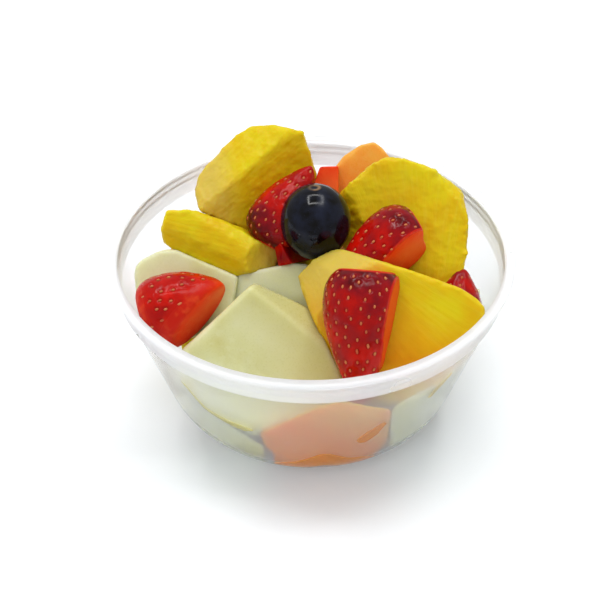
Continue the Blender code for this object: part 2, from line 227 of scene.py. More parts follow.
def milky_plastic(name, clear, roughness, tint, lamp_light):
    """Polypropylene: what isn't clear is white haze. Lamps shine through it without bending."""
    material, tree, output, place = new_material(name)
    clouds = add_noise(tree, place, scale=45.0, detail=3.0)
    waves = add_noise(tree, place, scale=120.0, detail=2.0)
    plastic = add_node(
        tree, "ShaderNodeBsdfPrincipled",
        {
            "Base Color": tint,
            "Roughness": add_range(tree, clouds, (0.3, 0.7), (roughness * 0.85, roughness * 1.15)),
            "IOR": PLASTIC_IOR,
            "Transmission Weight": clear,
            "Normal": add_bump(tree, waves, strength=0.05, depth=0.3 * MM),
        },
    )
    rays = add_node(tree, "ShaderNodeLightPath")
    passing = add_node(tree, "ShaderNodeBsdfTransparent", {"Color": (lamp_light,) * 3})
    shader = add_node(
        tree, "ShaderNodeMixShader",
        {0: rays.outputs["Is Shadow Ray"], 1: plastic.outputs["BSDF"], 2: passing.outputs["BSDF"]},
    )
    tree.links.new(shader.outputs["Shader"], output.inputs["Surface"])
    return material


bowl_shell = bmesh.new()
turn(bowl_shell, bowl_inside(), 0)
turn(bowl_shell, [bowl_inside()[-1], *bowl_lip(), bowl_outside()[0]], 1)
turn(bowl_shell, bowl_outside(), 2)
bmesh.ops.remove_doubles(bowl_shell, verts=bowl_shell.verts[:], dist=SAME_PLACE)
bmesh.ops.recalc_face_normals(bowl_shell, faces=bowl_shell.faces[:])
bowl_mesh = save_mesh("milky_bowl", bowl_shell)
for finish in BOWL_FINISHES:
    bowl_mesh.materials.append(milky_plastic(*finish))
bowl = add_object("milky_bowl", bowl_mesh)
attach(bowl, "root")
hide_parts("bowl")

# ---------------------------------------------------------------- the honeydew melon
# Pale green-white melon, cut in rough wedges and cubes with a knife and heaped wet. Each piece is the packed
# solid's shape, closed and meshed evenly, with its edges worn round and soft waves left by the knife.

CELL = 0.5 * MM
HONEYDEW_SWELL = 0.55 * MM
HONEYDEW_PALE = (0.8, 0.82, 0.56)
HONEYDEW_MIDDLE = (0.7, 0.71, 0.38)
HONEYDEW_DEEP = (0.57, 0.53, 0.16)
HONEYDEW_WET = (0.55, 0.5, 0.13)
HONEYDEW_GLOW = (1.0, 0.95, 0.5)
MELON_GLOW_REACH = 6.0 * MM
# How much paler the worn edges are: painted light, as if lit through the thin flesh there.
MELON_EDGE_GLOW = 0.7
MELON_SEED_STEP = 3.1
KNIFE_WAVES = {
    "Wave Depth": 0.7 * MM, "Wave Size": 13.0 * MM,
    "Grain Depth": 0.09 * MM, "Grain Size": 1.5 * MM,
}
# How an edge wears round: how often, how far towards its neighbours each corner goes at a time, how far a
# corner of a full edge has gone, and over how many cells the edge's look spreads.
WORN_PASSES = 3
WORN_STEP = 0.6
FULL_EDGE = 0.25 * MM
EDGE_SPREAD = 4
# How a piece lies at the wall. It keeps OFF_WALL off it, with a soft bend, and what lies further in, up to
# FAR_OFF times the bend's softness, comes RELIEF_LOST nearer. A wet spot is pressed WALL_BITE past the
# wall's inner face. Its wetness fades between two depths, and has a soft edge.
OFF_WALL = 0.7 * MM
RELIEF_LOST = 0.5 * MM
WALL_SOFTNESS = 0.25 * MM
FAR_OFF = 60.0
WALL_BITE = 0.4 * MM
WALL_REACH = 9.0 * MM
WET_FADES = 0.7 * WALL_REACH
WET_EDGE_MM = 0.35
# Painted shade: the shares of a piece's half length over which its colour deepens as if in shade, and the
# heights round fades_at over which that sets in.
SHADE_SHARES = (-0.6, 0.9)
SHADE_FADE = (-5.0 * MM, 2.0 * MM)
# The heap's front is a slope that faces the viewer.
SLOPE = radians(-38.0)
RIGHT = Vector((1.0, 0.0, 0.0))
UP_SLOPE = Vector((0.0, -sin(SLOPE), cos(SLOPE)))
INTO_SLOPE = Vector((0.0, cos(SLOPE), sin(SLOPE)))


def packed_copy(node):
    """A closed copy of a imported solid, with its loose triangles joined."""
    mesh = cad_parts[node].data.copy()
    mesh.materials.clear()
    joined = bmesh.new()
    joined.from_mesh(mesh)
    bmesh.ops.remove_doubles(joined, verts=joined.verts[:], dist=SAME_PLACE)
    joined.to_mesh(mesh)
    joined.free()
    return mesh


def bake_shape(holder):
    """The mesh that an object's modifiers make, as a plain mesh. The object goes."""
    made = bpy.data.meshes.new_from_object(holder.evaluated_get(bpy.context.evaluated_depsgraph_get()))
    bpy.data.objects.remove(holder)
    return made


def even_mesh(mesh, cell):
    """The same closed shape as one evenly meshed surface."""
    holder = add_object("holder", mesh)
    remesh = holder.modifiers.new("even", "REMESH")
    remesh.mode = "VOXEL"
    remesh.voxel_size = cell
    return bake_shape(holder)


def places_of(mesh):
    """Where each corner is, one row for each."""
    places = np.empty(len(mesh.vertices) * 3)
    mesh.vertices.foreach_get("co", places)
    return places.reshape(-1, 3)


def normals_of(mesh):
    """Which way the surface faces at each corner, one row for each."""
    normals = np.empty(len(mesh.vertices) * 3)
    mesh.vertex_normals.foreach_get("vector", normals)
    return normals.reshape(-1, 3)


def put_places(mesh, places):
    """Moves each corner to its new place."""
    mesh.vertices.foreach_set("co", np.ascontiguousarray(places, dtype=np.float32).ravel())
    mesh.update()


def wear_round(mesh, passes):
    """Rounds the knife's sharp edges by moving every corner towards its neighbours, again and again, and
    gives back how near an edge each corner is."""
    ends = np.empty(len(mesh.edges) * 2, dtype=np.int64)
    mesh.edges.foreach_get("vertices", ends)
    a, b = ends.reshape(-1, 2).T
    places = places_of(mesh)
    count = np.bincount(np.concatenate([a, b]), minlength=len(places))

    def between_neighbours(values):
        """The mean of each corner's neighbours."""
        total = np.bincount(a, weights=values[b], minlength=len(values))
        return (total + np.bincount(b, weights=values[a], minlength=len(values))) / count

    worn = places.copy()
    for _ in range(passes):
        worn += WORN_STEP * (np.stack([between_neighbours(worn[:, k]) for k in range(3)], axis=1) - worn)
    put_places(mesh, worn)
    edge = np.clip(np.linalg.norm(worn - places, axis=1) / FULL_EDGE, 0.0, 1.0)
    for _ in range(EDGE_SPREAD):
        edge = np.maximum(edge, between_neighbours(edge))
    return edge


def along_slope(degrees):
    """A direction on the heap's slope, from right towards up."""
    return np.array(RIGHT * cos(radians(degrees)) + UP_SLOPE * sin(radians(degrees)))


def step_up(values, low, high):
    """0 below low, 1 above high, and a soft step between."""
    share = np.clip((values - low) / (high - low), 0.0, 1.0)
    return share * share * (3.0 - 2.0 * share)


def store(mesh, name, values):
    """Keeps a number, or a vector, for each corner under a name that materials and nodes read."""
    kind, key = ("FLOAT", "value") if values.ndim == 1 else ("FLOAT_VECTOR", "vector")
    attribute = mesh.attributes.new(name, kind, "POINT")
    attribute.data.foreach_set(key, np.ascontiguousarray(values, dtype=np.float32).ravel())


def paint_shade_end(mesh, degrees, share, fades_at=0.0):
    """Stores how much painted shade deepens each corner's colour: most at the piece's end in that direction
    on the slope, and not at all below a height."""
    places = places_of(mesh)
    towards = (places - (places.min(axis=0) + places.max(axis=0)) / 2) @ along_slope(degrees)
    high_enough = step_up(places[:, 2], fades_at + SHADE_FADE[0], fades_at + SHADE_FADE[1])
    store(mesh, "painted_shade", share * high_enough * step_up(towards / np.abs(towards).max(), *SHADE_SHARES))


def swell(mesh, by):
    """Moves the whole surface outwards, so that wet pieces close on each other."""
    put_places(mesh, places_of(mesh) + normals_of(mesh) * by)


def wall_out(places):
    """The bowl wall's outward direction beside each place, and how far inside the wall's inner face it is."""
    lean = wall_lean()
    flat = np.hypot(places[:, 0], places[:, 1])
    along = places[:, :2] / np.maximum(flat, 1e-9)[:, None]
    turn_r, turn_z = flat - FOOT_RADIUS, places[:, 2] - CORNER_RADIUS
    angle = np.minimum(np.arctan2(turn_z, np.maximum(turn_r, 1e-9)), -lean)
    out = np.column_stack([along * np.cos(angle)[:, None], np.sin(angle)])
    inside = CORNER_RADIUS - WALL - (turn_r * np.cos(angle) + turn_z * np.sin(angle))
    return out, inside


def wet_path(on_wall, path):
    """How wet each place on the wall is along a path of spots, each (x, y, z, half width), in millimetres."""
    wet = np.zeros(len(on_wall))
    for start, end in zip(np.array(path), np.array(path)[1:]):
        run = (end - start)[:3]
        share = np.clip((on_wall - start[:3]) @ run / (run @ run), 0.0, 1.0)
        width = start[3] + share * (end[3] - start[3])
        gap = np.linalg.norm(on_wall - start[:3] - share[:, None] * run, axis=1)
        wet = np.maximum(wet, 1.0 - step_up(gap, width - WET_EDGE_MM, width + WET_EDGE_MM))
    return wet


def fit_to_wall(mesh, paths):
    """Keeps a piece softly off the wall, and presses it into the wall's inner face along each path of spots,
    where it is wet on it. Stores how wet each corner is."""
    places = places_of(mesh)
    out, inside = wall_out(places)
    on_wall = (places + out * inside[:, None]) / MM
    wet = np.max([np.zeros(len(places)), *(wet_path(on_wall, path) for path in paths)], axis=0)
    wet *= 1.0 - step_up(inside, WET_FADES, WALL_REACH)
    past = (inside - OFF_WALL - RELIEF_LOST) / WALL_SOFTNESS
    kept = OFF_WALL + WALL_SOFTNESS * np.logaddexp(0.0, np.minimum(past, FAR_OFF))
    kept = np.where(past > FAR_OFF, inside, np.minimum(kept, np.maximum(inside, OFF_WALL)))
    goal = kept * (1.0 - wet) - WALL_BITE * wet
    put_places(mesh, places + out * (inside - goal)[:, None])
    store(mesh, "wet", wet)


def new_tree(name, sizes, others):
    """An empty Geometry Nodes tree and what its named inputs give: sizes are numbers, and the others are of
    the kinds named."""
    tree = bpy.data.node_groups.new(name, "GeometryNodeTree")
    tree.interface.new_socket("Geometry", in_out="OUTPUT", socket_type="NodeSocketGeometry")
    tree.interface.new_socket("Geometry", in_out="INPUT", socket_type="NodeSocketGeometry")
    for label, value in sizes.items():
        tree.interface.new_socket(label, in_out="INPUT", socket_type="NodeSocketFloat").default_value = value
    for label, kind in others.items():
        tree.interface.new_socket(label, in_out="INPUT", socket_type="NodeSocket" + kind)
    return tree, add_node(tree, "NodeGroupInput").outputs


def calculate(tree, operation, first, second):
    """One step of arithmetic on two values."""
    return add_node(tree, "ShaderNodeMath", {0: first, 1: second}, operation=operation).outputs[0]


def to_height(tree, noise, depth):
    """Heights above and below the surface, from a noise and how deep it goes."""
    return calculate(tree, "MULTIPLY", calculate(tree, "SUBTRACT", noise, 0.5), depth)


def raise_surface(tree, geometry, heights, way=None):
    """Moves the surface by its heights: outwards, or the way that's given."""
    if way is None:
        way = add_node(tree, "GeometryNodeInputNormal").outputs["Normal"]
    offset = add_node(tree, "ShaderNodeVectorMath", {0: way, "Scale": heights}, operation="SCALE").outputs[0]
    moved = add_node(tree, "GeometryNodeSetPosition", {"Geometry": geometry, "Offset": offset})
    return moved.outputs["Geometry"]


def make_real(tree, geometry):
    """Real geometry from instances."""
    return add_node(tree, "GeometryNodeRealizeInstances", {"Geometry": geometry}).outputs["Geometry"]


def paint(tree, geometry, material):
    """The same geometry with that material."""
    node = add_node(tree, "GeometryNodeSetMaterial", {"Geometry": geometry, "Material": material})
    return node.outputs["Geometry"]


def knife_waves():
    """A Geometry Nodes tree that leaves soft waves and a fine wet grain on a cut piece."""
    tree, given = new_tree("melon_waves", {**KNIFE_WAVES, "Seed": 0.0}, {"Flesh": "Material"})
    place = add_node(tree, "GeometryNodeInputPosition").outputs["Position"]
    heights = []
    for kind in ("Wave", "Grain"):
        scale = calculate(tree, "DIVIDE", 1.0, given[kind + " Size"])
        noise = add_noise(tree, place, scale, detail=2.0, seed=given["Seed"])
        heights.append(to_height(tree, noise, given[kind + " Depth"]))
    waved = raise_surface(tree, given["Geometry"], calculate(tree, "ADD", *heights))
    add_node(tree, "NodeGroupOutput", {0: paint(tree, make_real(tree, waved), given["Flesh"])})
    return tree


def run_tree(mesh, tree, values):
    """The mesh that a Geometry Nodes tree makes of this one, with its named inputs set."""
    holder = add_object("holder", mesh)
    modifier = holder.modifiers.new("shape", "NODES")
    modifier.node_group = tree
    for item in tree.interface.items_tree:
        if item.item_type == "SOCKET" and item.in_out == "INPUT" and item.name in values:
            modifier[item.identifier] = values[item.name]
    return bake_shape(holder)


def serve(node, mesh):
    """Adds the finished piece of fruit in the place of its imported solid."""
    mesh.name = node + "_fruit"
    mesh.shade_smooth()
    piece = add_object(node + "_fruit", mesh)
    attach(piece, "root")
    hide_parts(node)


def read_value(tree, name):
    """A number that's stored on the mesh, for a material."""
    return add_node(tree, "ShaderNodeAttribute", attribute_name=name).outputs["Fac"]


def mix_colours(tree, share, first, second):
    """The first colour where the share is 0, and the second where it is 1."""
    return add_node(tree, "ShaderNodeMix", {0: share, 6: first, 7: second}, data_type="RGBA").outputs[2]


def add_ramp(tree, value, low, high, *between):
    """A colour for each value, from stops that are each a position and a colour."""
    node = add_node(tree, "ShaderNodeValToRGB", {"Fac": value})
    ramp = node.color_ramp.elements
    for i, (position, colour) in enumerate((low, high)):
        ramp[i].position = position
        ramp[i].color = (*colour, 1.0)
    for position, colour in between:
        ramp.new(position).color = (*colour, 1.0)
    return node.outputs["Color"]


def finish_surface(tree, output, inputs):
    """The material's shader, with these inputs."""
    shader = add_node(tree, "ShaderNodeBsdfPrincipled", inputs)
    tree.links.new(shader.outputs["BSDF"], output.inputs["Surface"])


def melon_flesh(name, pale, middle, deep, wet_tone, glow):
    """Melon flesh: three tones in large soft clouds, fine wet cells, a glow of light inside it, painted shade
    that deepens it towards one end, worn edges paler with painted light as if lit through the thin flesh,
    and a deeper tone where it's wet against the wall."""
    material, tree, output, place = new_material(name)
    clouds = add_noise(tree, place, scale=34.0, detail=2.0, distortion=0.4)
    tones = add_ramp(tree, clouds, (0.3, deep), (0.68, pale), (0.47, middle))
    flecks = add_range(tree, add_noise(tree, place, scale=330.0, detail=4.0), (0.5, 0.8), (0.0, 0.4))
    flecked = mix_colours(tree, flecks, tones, pale)
    # Painted shade: deeper towards one end of the piece.
    shade_deepened = mix_colours(tree, read_value(tree, "painted_shade"), flecked, deep)
    # Painted light: worn edges paler, as if lit through the thin flesh.
    edges = calculate(tree, "MULTIPLY", read_value(tree, "edge"), MELON_EDGE_GLOW)
    edged = mix_colours(tree, edges, shade_deepened, pale)
    cells = add_noise(tree, place, scale=1500.0, detail=3.0)
    finish_surface(tree, output, {
        "Base Color": mix_colours(tree, read_value(tree, "wet"), edged, wet_tone),
        "Roughness": add_range(tree, cells, (0.35, 0.65), (0.24, 0.42)),
        "IOR": 1.36,
        "Subsurface Weight": 0.6,
        "Subsurface Radius": glow,
        "Subsurface Scale": MELON_GLOW_REACH,
        "Normal": add_bump(tree, cells, strength=0.22, depth=0.25 * MM),
    })
    return material


def serve_melon(kind, flesh, first_seed, swelling, shade_ends, wall_paths):
    """Makes and adds every piece of one melon. Its table of painted shade has, for each piece, the way that
    shade deepens its colour, in degrees on the slope, and by how much."""
    for number, node in enumerate(sorted(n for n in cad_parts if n.startswith(kind))):
        cut = even_mesh(packed_copy(node), CELL)
        store(cut, "edge", wear_round(cut, WORN_PASSES))
        # Painted shade, deepening the colour towards one end.
        paint_shade_end(cut, *shade_ends.get(node, shade_ends["others"]))
        swell(cut, swelling)
        seed = first_seed + MELON_SEED_STEP * number
        cut = run_tree(cut, melon_waves, {"Seed": seed, "Flesh": flesh})
        fit_to_wall(cut, wall_paths.get(node, ()))
        serve(node, cut)


# Painted shade on each honeydew piece: the way its colour deepens towards one end, in degrees on the slope,
# and by how much.
HONEYDEW_SHADE_ENDS = {
    "honeydew_front": (35.0, 0.9),
    "honeydew_left": (90.0, 0.1),
    "honeydew_middle": (270.0, 0.0),
    "others": (90.0, 0.3),
}
# Where each piece lies wet on the bowl: paths of spots on the wall, each (x, y, z, half width) in
# millimetres.
HONEYDEW_WALL_PATHS = {
    "honeydew_front": [
        [(-44.8, -46.9, 52.0, 1.0), (-42.6, -47.3, 48.4, 1.2), (-40.4, -47.6, 45.0, 1.3),
         (-38.4, -47.8, 41.8, 1.3), (-36.2, -48.4, 38.8, 1.4), (-33.2, -50.0, 37.2, 1.5),
         (-30.0, -51.6, 36.2, 1.7), (-26.6, -53.0, 35.2, 1.9), (-23.2, -54.4, 34.6, 2.0),
         (-20.6, -55.6, 35.0, 1.2)],
    ],
    "honeydew_front_left": [
        [(-46.6, -35.6, 37.0, 1.2), (-44.6, -34.8, 32.0, 1.5), (-42.6, -33.6, 27.0, 1.2)],
    ],
    "honeydew_front_right": [
        [(46.6, -33.0, 33.0, 1.8), (48.6, -31.0, 35.4, 1.2)],
    ],
}
melon_waves = knife_waves()
honeydew_flesh = melon_flesh(
    "honeydew_flesh", HONEYDEW_PALE, HONEYDEW_MIDDLE, HONEYDEW_DEEP, HONEYDEW_WET, HONEYDEW_GLOW
)
serve_melon("honeydew", honeydew_flesh, 0.0, HONEYDEW_SWELL, HONEYDEW_SHADE_ENDS, HONEYDEW_WALL_PATHS)

# ---------------------------------------------------------------- the cantaloupe melon
# Orange melon cut the same way. The long piece at the front lies wet against the bowl, so two patches of it
# touch the wall and show clear and deep orange through the plastic.

SWELL = 0.3 * MM
CANTALOUPE_PALE = (0.86, 0.5, 0.11)
CANTALOUPE_MIDDLE = (0.85, 0.41, 0.055)
CANTALOUPE_DEEP = (0.82, 0.22, 0.015)
CANTALOUPE_WET = (0.74, 0.26, 0.0)
CANTALOUPE_GLOW = (1.0, 0.5, 0.15)
CANTALOUPE_SEED = 40.0
# Painted shade: the front piece's colour deepens strongly towards its lower end, the others' only a little.
CANTALOUPE_SHADE_ENDS = {"cantaloupe_front": (250.0, 1.6), "others": (250.0, 0.25)}
CANTALOUPE_WALL_PATHS = {
    "cantaloupe_front": [
        [(-11.0, -50.0, 11.5, 2.6), (-3.0, -52.4, 13.6, 4.0), (4.8, -54.4, 17.6, 5.0),
         (11.0, -51.6, 14.0, 4.2), (17.0, -49.0, 12.6, 3.6), (21.0, -46.6, 11.8, 2.0)],
        [(18.3, -54.7, 29.3, 2.7), (21.0, -54.8, 32.0, 3.0), (24.6, -54.9, 36.4, 1.5)],
    ],
}
cantaloupe_flesh = melon_flesh(
    "cantaloupe_flesh", CANTALOUPE_PALE, CANTALOUPE_MIDDLE, CANTALOUPE_DEEP, CANTALOUPE_WET, CANTALOUPE_GLOW
)
serve_melon(
    "cantaloupe", cantaloupe_flesh, CANTALOUPE_SEED, SWELL, CANTALOUPE_SHADE_ENDS, CANTALOUPE_WALL_PATHS
)

# ---------------------------------------------------------------- the pineapple
# Ripe yellow pineapple in wedges. Fibres spread from the core's side, which is pale, to the skin's side,
# which is ragged where the eyes were cut out. The fibres are low ridges and paler streaks along the grain.

PINEAPPLE_CELL = 0.5 * MM
FIBRE_DEPTH = 0.5 * MM
FIBRE_WIDTH = 1.5 * MM
FIBRE_LENGTH = 16.0 * MM
RAG_DEPTH = 5.5 * MM
RAG_SIZE = 3.8 * MM
FACE_SHARE = 0.015
CORE_REACH = 60.0 * MM
PALE_FADE = (-4.0 * MM, 8.0 * MM)
# The pineapple's painted shade deepens it only above about this height.
SHADE_ABOVE = 51.0 * MM
PINEAPPLE_SEED_STEP = 5.3
PINEAPPLE_GOLD = (0.73, 0.47, 0.002)
PINEAPPLE_YELLOW = (0.74, 0.63, 0.006)
PINEAPPLE_STREAK = (0.75, 0.66, 0.06)
PINEAPPLE_CORE = (0.68, 0.5, 0.085)
# Painted shade: the deeper orange towards a piece's shaded end.
PINEAPPLE_SHADE_ORANGE = (0.74, 0.31, 0.0005)
PINEAPPLE_EDGE = (0.8, 0.69, 0.03)
PINEAPPLE_EDGE_SHARE = 0.3
PINEAPPLE_WET = (0.62, 0.45, 0.004)
# For each piece: the way its fibres run, in degrees from right to up on the heap's slope, the pale side's
# direction the same way, how far from the piece's middle that side starts, how ragged its edges are, how
# often they are worn, the way painted shade deepens its colour, and by how much.
PINEAPPLE_GRAIN = {
    "pineapple_back_left": (36.0, 190.0, 8.0 * MM, 1.1, 4, 320.0, 0.3),
    "pineapple_left": (-16.0, -20.0, 12.0 * MM, 0.9, 6, 255.0, 0.15),
    "pineapple_back_right": (97.0, 200.0, 26.0 * MM, 2.1, 3, 215.0, 0.4),
    "pineapple_front_right": (-48.0, 140.0, 15.0 * MM, 0.4, 9, 255.0, 1.3),
    "pineapple_bottom_left": (70.0, 250.0, 12.0 * MM, 0.5, 4, 270.0, 0.4),
    "pineapple_bottom_right": (110.0, 290.0, 12.0 * MM, 0.5, 4, 270.0, 0.4),
    "pineapple_middle": (60.0, 240.0, 12.0 * MM, 0.5, 4, 270.0, 0.4),
}
PINEAPPLE_WALL_PATHS = {
    "pineapple_front_right": [
        [(34.1, -57.1, 55.1, 0.8), (36.9, -55.0, 54.3, 1.4), (39.8, -52.7, 53.5, 1.5),
         (42.7, -49.9, 52.6, 1.0)],
        [(41.3, -46.7, 42.6, 1.6), (42.9, -46.3, 45.2, 2.1), (44.9, -45.4, 47.4, 2.3),
         (47.0, -44.3, 49.4, 2.2)],
    ],
}


def lay_grain(mesh, fibres, pale, pale_start):
    """Stores where each corner lies along, across and through the fibres, and how pale it is."""
    places = places_of(mesh)
    from_middle = places - (places.min(axis=0) + places.max(axis=0)) / 2
    along = from_middle @ along_slope(fibres)
    across = from_middle @ along_slope(fibres + 90.0)
    through = from_middle @ np.array(INTO_SLOPE)
    fan = CORE_REACH / (CORE_REACH + along)
    store(mesh, "grain", np.column_stack([along, across * fan, through]))
    towards = from_middle @ along_slope(pale)
    store(mesh, "pale", step_up(towards, pale_start + PALE_FADE[0], pale_start + PALE_FADE[1]))


def read_stored(tree, name, kind):
    """What is stored on the mesh under a name, for a Geometry Nodes tree."""
    node = add_node(tree, "GeometryNodeInputNamedAttribute", {"Name": name}, data_type=kind)
    return node.outputs["Attribute"]


def fibre_ridges():
    """A Geometry Nodes tree that raises low ridges along the stored grain, and tears a piece's edges."""
    sizes = {
        "Fibre Depth": FIBRE_DEPTH, "Fibre Width": FIBRE_WIDTH, "Fibre Length": FIBRE_LENGTH,
        "Rag Depth": RAG_DEPTH, "Rag Size": RAG_SIZE, "Face Share": FACE_SHARE, "Seed": 0.0,
    }
    tree, given = new_tree("fibre_ridges", sizes, {"Flesh": "Material"})
    fibre = add_node(
        tree, "ShaderNodeCombineXYZ",
        {"X": given["Fibre Length"], "Y": given["Fibre Width"], "Z": given["Fibre Width"]},
    )
    grain = read_stored(tree, "grain", "FLOAT_VECTOR")
    stretched = add_node(
        tree, "ShaderNodeVectorMath", {0: grain, 1: fibre.outputs["Vector"]}, operation="DIVIDE"
    ).outputs["Vector"]
    fibres = add_noise(tree, stretched, scale=1.0, detail=2.0, distortion=0.3, seed=given["Seed"])
    ridges = to_height(tree, fibres, given["Fibre Depth"])
    place = add_node(tree, "GeometryNodeInputPosition").outputs["Position"]
    rag_scale = calculate(tree, "DIVIDE", 1.0, given["Rag Size"])
    rags = add_noise(tree, place, rag_scale, detail=3.0, seed=given["Seed"])
    edges = read_stored(tree, "edge", "FLOAT")
    torn = add_range(tree, edges, (0.0, 1.0), (given["Face Share"], 1.0))
    tears = calculate(tree, "MULTIPLY", to_height(tree, rags, given["Rag Depth"]), torn)
    ragged = raise_surface(tree, given["Geometry"], calculate(tree, "ADD", ridges, tears))
    add_node(tree, "NodeGroupOutput", {0: paint(tree, make_real(tree, ragged), given["Flesh"])})
    return tree


def pineapple_flesh():
    """Saturated yellow with deeper gold clouds and paler streaks along the grain, a pale core side, an orange
    end of painted shade, and paler worn edges."""
    material, tree, output, place = new_material("pineapple_flesh")
    grain = add_node(tree, "ShaderNodeAttribute", attribute_name="grain").outputs["Vector"]
    clouds = add_noise(tree, place, scale=85.0, detail=4.0)
    tones = add_ramp(tree, clouds, (0.3, PINEAPPLE_GOLD), (0.7, PINEAPPLE_YELLOW))
    long_way = add_node(tree, "ShaderNodeMapping", {"Vector": grain, "Scale": (70.0, 900.0, 500.0)})
    streaks = add_noise(tree, long_way.outputs["Vector"], scale=1.0, detail=4.0, distortion=0.25)
    streaked = mix_colours(
        tree, add_range(tree, streaks, (0.48, 0.75), (0.0, 0.24)), tones, PINEAPPLE_STREAK
    )
    paled = mix_colours(tree, read_value(tree, "pale"), streaked, PINEAPPLE_CORE)
    # Painted shade: deeper orange towards one end.
    shade_deepened = mix_colours(tree, read_value(tree, "painted_shade"), paled, PINEAPPLE_SHADE_ORANGE)
    edges = calculate(tree, "MULTIPLY", read_value(tree, "edge"), PINEAPPLE_EDGE_SHARE)
    edged = mix_colours(tree, edges, shade_deepened, PINEAPPLE_EDGE)
    fine_way = add_node(tree, "ShaderNodeMapping", {"Vector": grain, "Scale": (250.0, 2600.0, 2000.0)})
    fine = add_noise(tree, fine_way.outputs["Vector"], scale=1.0, detail=3.0)
    finish_surface(tree, output, {
        "Base Color": mix_colours(tree, read_value(tree, "wet"), edged, PINEAPPLE_WET),
        "Roughness": add_range(tree, fine, (0.35, 0.65), (0.28, 0.5)),
        "IOR": 1.25,
        "Subsurface Weight": 0.5,
        "Subsurface Radius": (1.0, 0.55, 0.08),
        "Subsurface Scale": 5.0 * MM,
        "Normal": add_bump(tree, fine, strength=0.3, depth=0.3 * MM),
    })
    return material


fibre_tree, yellow_flesh = fibre_ridges(), pineapple_flesh()
for number, (node, sizes) in enumerate(PINEAPPLE_GRAIN.items()):
    fibres, pale, pale_start, ragged, worn, shade_way, painted_shade = sizes
    cut = even_mesh(packed_copy(node), PINEAPPLE_CELL)
    store(cut, "edge", wear_round(cut, worn))
    # Painted shade, deepening the colour towards one end.
    paint_shade_end(cut, shade_way, painted_shade, SHADE_ABOVE)
    swell(cut, SWELL)
    lay_grain(cut, fibres, pale, pale_start)
    cut = run_tree(
        cut, fibre_tree,
        {"Seed": PINEAPPLE_SEED_STEP * number, "Rag Depth": RAG_DEPTH * ragged, "Flesh": yellow_flesh},
    )
    fit_to_wall(cut, PINEAPPLE_WALL_PATHS.get(node, ()))
    serve(node, cut)

# ---------------------------------------------------------------- the strawberries
# Ripe strawberries, hulled and cut once or twice. The skin is glossy deep red, dimpled round pale seeds that
# stand in an even spread, and the cut faces are lighter orange-red with faint veins towards the middle.

BERRY_CELL = 0.42 * MM
BERRY_SIDES = 72
BERRY_RINGS = 48
BERRY_SHOULDER = 0.55
BERRY_WORN_PASSES = 2
HULLED = 0.45
HULL_FACE = (-0.6 * MM, -0.2 * MM)
HOLLOW = 1.8 * MM
HOLLOW_SHARES = (0.1, 0.65)
CUT_EDGE = 0.35 * MM
ON_PLANE = 1e-7
PRESSED_IN = 0.7 * MM
LUMP_DEPTH = 1.2 * MM
LUMP_SIZE = 8.0 * MM
MOST_SEEDS = 400000.0
SEED_GAP = 3.1 * MM
SEED_LENGTH = 1.4 * MM
SEED_WIDTH = 0.85 * MM
SEED_SUNK_SHARE = -0.75
FIRST_SPREAD = 7
DIMPLE_DEPTH = 0.5 * MM
DIMPLE_WIDTH = 1.4 * MM
SKIN_RED = (0.62, 0.008, 0.002)
SKIN_DEEP = (0.42, 0.004, 0.002)
SKIN_MAROON = (0.24, 0.004, 0.009)
# Painted shade for the dimples round the seeds.
SKIN_DIMPLE_SHADE = (0.3, 0.002, 0.001)
HULL_EDGE = (0.1, 0.003, 0.005)
CUT_PALE = (0.93, 0.17, 0.035)
CUT_DEEP = (0.88, 0.045, 0.003)
CUT_RIM = (0.6, 0.012, 0.003)
CORE_PALE = (0.9, 0.42, 0.24)
SEED_BROWN = (0.52, 0.1, 0.035)
SEED_STRAW = (0.66, 0.24, 0.085)
